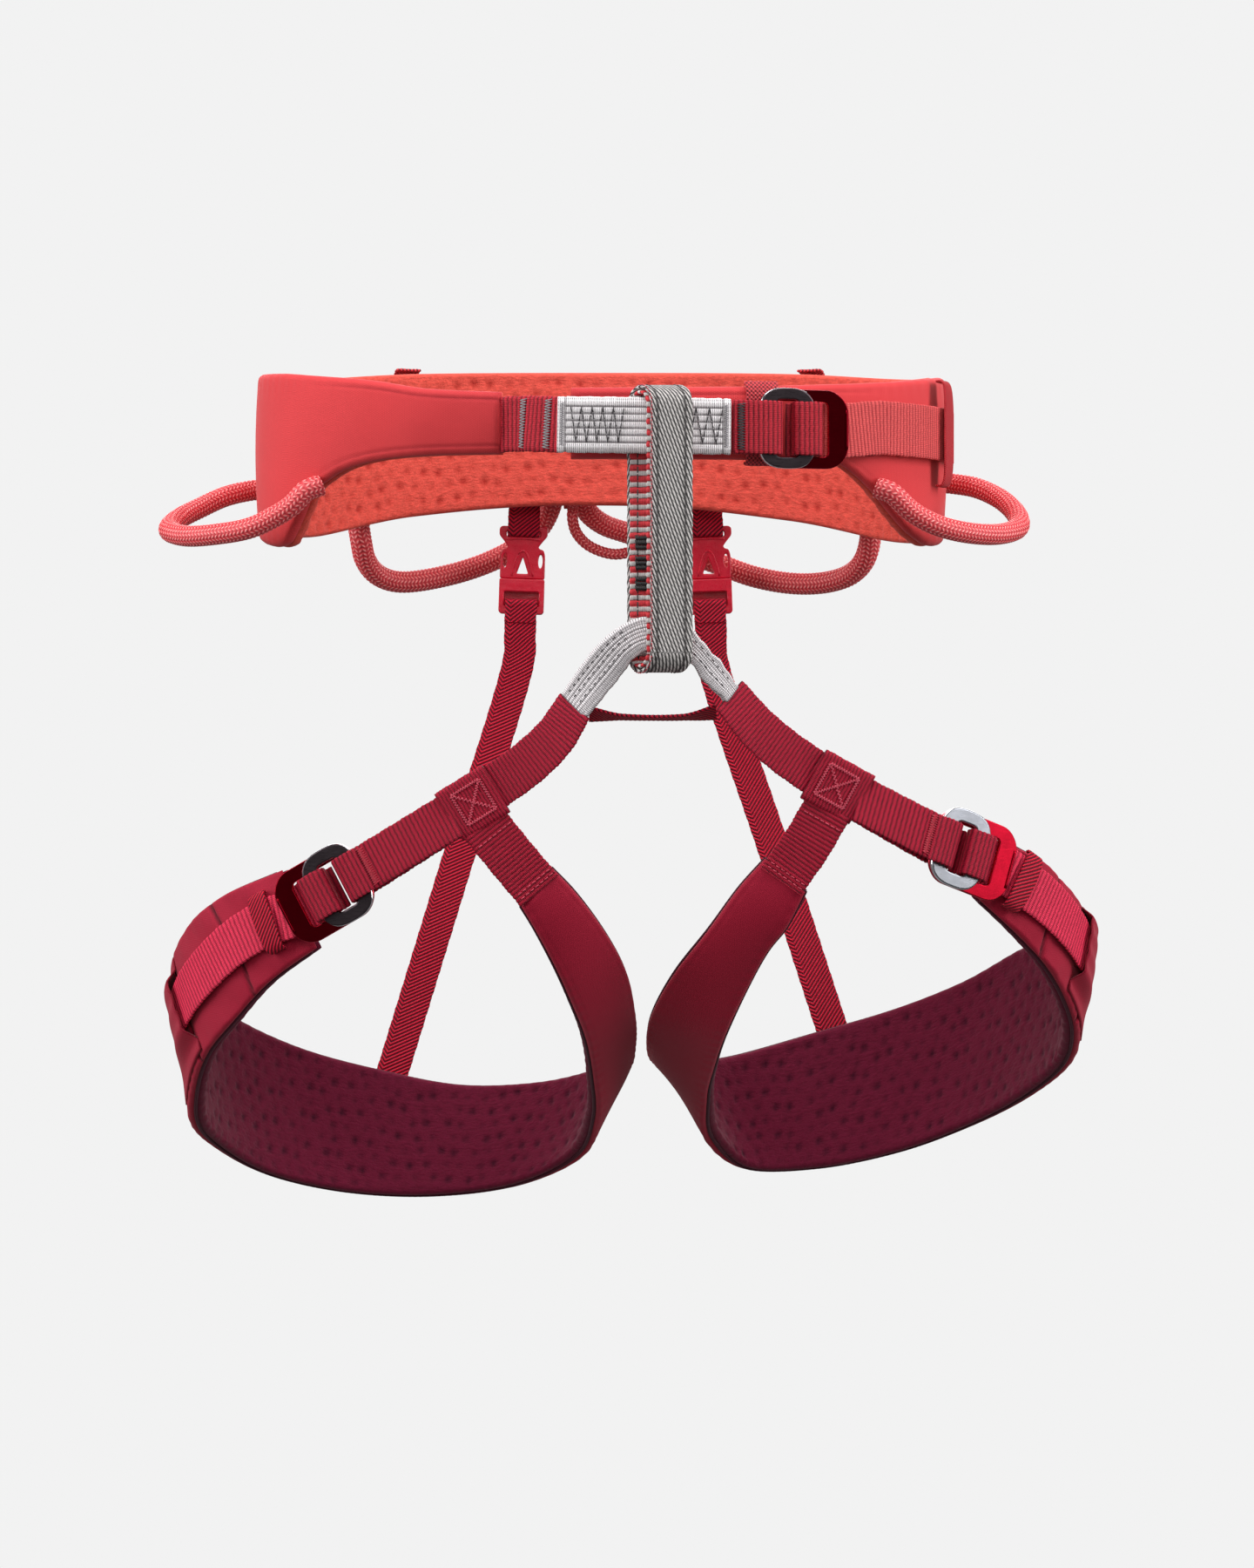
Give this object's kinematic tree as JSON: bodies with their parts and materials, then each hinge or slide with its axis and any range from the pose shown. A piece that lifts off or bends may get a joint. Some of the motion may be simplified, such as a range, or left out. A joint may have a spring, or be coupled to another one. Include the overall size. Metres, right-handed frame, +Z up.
{
  "type": "climbing sit harness",
  "caption": "Climbing sit harness: padded waist belt with a metal buckle, belay loop between gray tie-in points, adjustable padded leg loops, elastic risers, gear loops and a haul loop.",
  "frame": {"origin": "middle of the wearer's waist, level with the front webbing", "axes": "+Z up, the wearer faces -Y, the wearer's left is +X"},
  "size_m": [0.3978, 0.2551, 0.3727],
  "materials": {
    "belt_knit": "coral knitted shell, fine weave, slightly darker towards the front",
    "belt_lining_knit": "orange brushed knit over perforated foam",
    "foam": "closed-cell foam and load webbing, inside",
    "coral_webbing": "ribbed webbing, light coral",
    "red_webbing": "ribbed webbing, red",
    "tie_in_webbing": "light gray abrasion-resistant webbing with dark stitching",
    "striped_webbing": "red and gray ribbed webbing with black bar tacks",
    "belt_keeper": "coral elastic",
    "leg_knit": "burgundy knitted shell",
    "leg_lining_knit": "dark burgundy brushed knit over perforated foam",
    "leg_webbing": "ribbed webbing, crimson",
    "elastic": "twill elastic, crimson",
    "loop_sheath": "braided sheath with light flecks",
    "moulded_plastic": "glossy crimson moulded plastic",
    "steel": "polished steel with a bright rim",
    "anodized_aluminium": "dark red anodized aluminium"
  },
  "bodies": {
    "waist": {"belt_shell": "belt_knit", "belt_core": "foam", "belt_lining": "belt_lining_knit", "front_webbing_right": "red_webbing", "upper_tie_in_sleeve": "tie_in_webbing", "buckle_anchor_webbing": "red_webbing", "waist_strap": "red_webbing", "waist_strap_tail": "coral_webbing", "waist_strap_keeper": "belt_keeper", "tool_tab_right": "coral_webbing", "tool_tab_left": "coral_webbing", "lower_tie_in_sleeve": "tie_in_webbing", "leg_spacer_strap": "red_webbing", "riser_stub_right": "elastic", "riser_stub_left": "elastic", "riser_buckle_male_right": "moulded_plastic", "riser_buckle_male_left": "moulded_plastic"},
    "belay_loop": {"belay_loop_cover": "tie_in_webbing", "belay_loop_liner": "striped_webbing"},
    "waist_buckle": {"waist_buckle_ring": "steel", "waist_buckle_plate": "anodized_aluminium", "waist_strap_fold": "red_webbing"},
    "leg_right": {"leg_shell_right": "leg_knit", "leg_lining_right": "leg_lining_knit", "leg_front_webbing_right": "leg_webbing", "leg_cross_patch_right": "leg_webbing", "leg_tab_webbing_right": "leg_webbing", "leg_buckle_webbing_right": "leg_webbing", "leg_strap_right": "leg_webbing", "leg_strap_tail_right": "leg_webbing", "leg_strap_keeper_right": "elastic", "riser_strap_right": "elastic"},
    "leg_buckle_right": {"leg_right_buckle_ring": "steel", "leg_right_buckle_plate": "anodized_aluminium", "leg_right_strap_fold": "leg_webbing"},
    "riser_lock_right": {"riser_buckle_female_right": "moulded_plastic"},
    "leg_left": {"leg_shell_left": "leg_knit", "leg_lining_left": "leg_lining_knit", "leg_front_webbing_left": "leg_webbing", "leg_cross_patch_left": "leg_webbing", "leg_tab_webbing_left": "leg_webbing", "leg_buckle_webbing_left": "leg_webbing", "leg_strap_left": "leg_webbing", "leg_strap_tail_left": "leg_webbing", "leg_strap_keeper_left": "elastic", "riser_strap_left": "elastic"},
    "leg_buckle_left": {"leg_left_buckle_ring": "steel", "leg_left_buckle_plate": "anodized_aluminium", "leg_left_strap_fold": "leg_webbing"},
    "riser_lock_left": {"riser_buckle_female_left": "moulded_plastic"},
    "gear_loop_front_right": {"gear_loop_front_right": "loop_sheath"},
    "gear_loop_front_left": {"gear_loop_front_left": "loop_sheath"},
    "gear_loop_rear_right": {"gear_loop_rear_right": "loop_sheath"},
    "gear_loop_rear_left": {"gear_loop_rear_left": "loop_sheath"},
    "haul_loop": {"haul_loop": "loop_sheath"}
  },
  "joints": [
    {"name": "belay_loop_swivel", "type": "hinge", "parent": "waist", "child": "belay_loop", "pos_m": [0.0133, -0.1142, -0.0425], "axis": [0, 0, 1], "range_deg": [-5, 2]},
    {"name": "waist_buckle_tilt", "type": "hinge", "parent": "waist", "child": "waist_buckle", "pos_m": [0.05662, -0.10701, -0.001], "axis": [0, 0, -1], "range_deg": [0, 15], "stiffness_Nm_per_rad": 0.4, "deforming": ["waist_strap_tail", "waist_strap"]},
    {"name": "leg_swing_right", "type": "hinge", "parent": "waist", "child": "leg_right", "pos_m": [0, -0.104, -0.114], "axis": [1, 0, 0], "range_deg": [-14, 8], "stiffness_Nm_per_rad": 2, "deforming": ["leg_front_webbing_right", "riser_strap_right"]},
    {"name": "leg_buckle_tilt_right", "type": "hinge", "parent": "leg_right", "child": "leg_buckle_right", "pos_m": [-0.11153, -0.0886, -0.18336], "axis": [-0.466, 0.1359, 0.8743], "range_deg": [0, 15], "stiffness_Nm_per_rad": 0.4, "deforming": ["leg_strap_tail_right", "leg_strap_right"]},
    {"name": "riser_release_right", "type": "slide", "parent": "waist", "child": "riser_lock_right", "axis": [-0.035, 0, -0.9994], "range_m": [0, 0.008]},
    {"name": "leg_swing_left", "type": "hinge", "parent": "waist", "child": "leg_left", "pos_m": [0, -0.104, -0.114], "axis": [1, 0, 0], "range_deg": [-14, 8], "stiffness_Nm_per_rad": 2, "deforming": ["leg_front_webbing_left", "riser_strap_left"]},
    {"name": "leg_buckle_tilt_left", "type": "hinge", "parent": "leg_left", "child": "leg_buckle_left", "pos_m": [0.12931, -0.09315, -0.16976], "axis": [-0.2727, -0.1909, -0.943], "range_deg": [0, 15], "stiffness_Nm_per_rad": 0.4, "deforming": ["leg_strap_tail_left", "leg_strap_left"]},
    {"name": "riser_release_left", "type": "slide", "parent": "waist", "child": "riser_lock_left", "axis": [0.035, 0, -0.9994], "range_m": [0, 0.008]},
    {"name": "gear_loop_front_right_flex", "type": "hinge", "parent": "waist", "child": "gear_loop_front_right", "pos_m": [-0.133, -0.0746, -0.0244], "axis": [-0.3278, 0.9427, 0.0624], "range_deg": [-12, 12], "stiffness_Nm_per_rad": 0.3},
    {"name": "gear_loop_front_left_flex", "type": "hinge", "parent": "waist", "child": "gear_loop_front_left", "pos_m": [0.1094, -0.0786, -0.0256], "axis": [0.3277, 0.9393, 0.1013], "range_deg": [-12, 12], "stiffness_Nm_per_rad": 0.3},
    {"name": "gear_loop_rear_right_flex", "type": "hinge", "parent": "waist", "child": "gear_loop_rear_right", "pos_m": [-0.121, 0.0864, -0.026], "axis": [0.9374, 0.2578, 0.2343], "range_deg": [0, 30], "stiffness_Nm_per_rad": 0.3},
    {"name": "gear_loop_rear_left_flex", "type": "hinge", "parent": "waist", "child": "gear_loop_rear_left", "pos_m": [0.1094, 0.08, -0.024], "axis": [-0.9632, 0.225, 0.1471], "range_deg": [-30, 0], "stiffness_Nm_per_rad": 0.3},
    {"name": "haul_loop_swing", "type": "hinge", "parent": "waist", "child": "haul_loop", "pos_m": [-0.0246, 0.1076, -0.0194], "axis": [1, 0, 0], "range_deg": [-20, 8]}
  ]
}
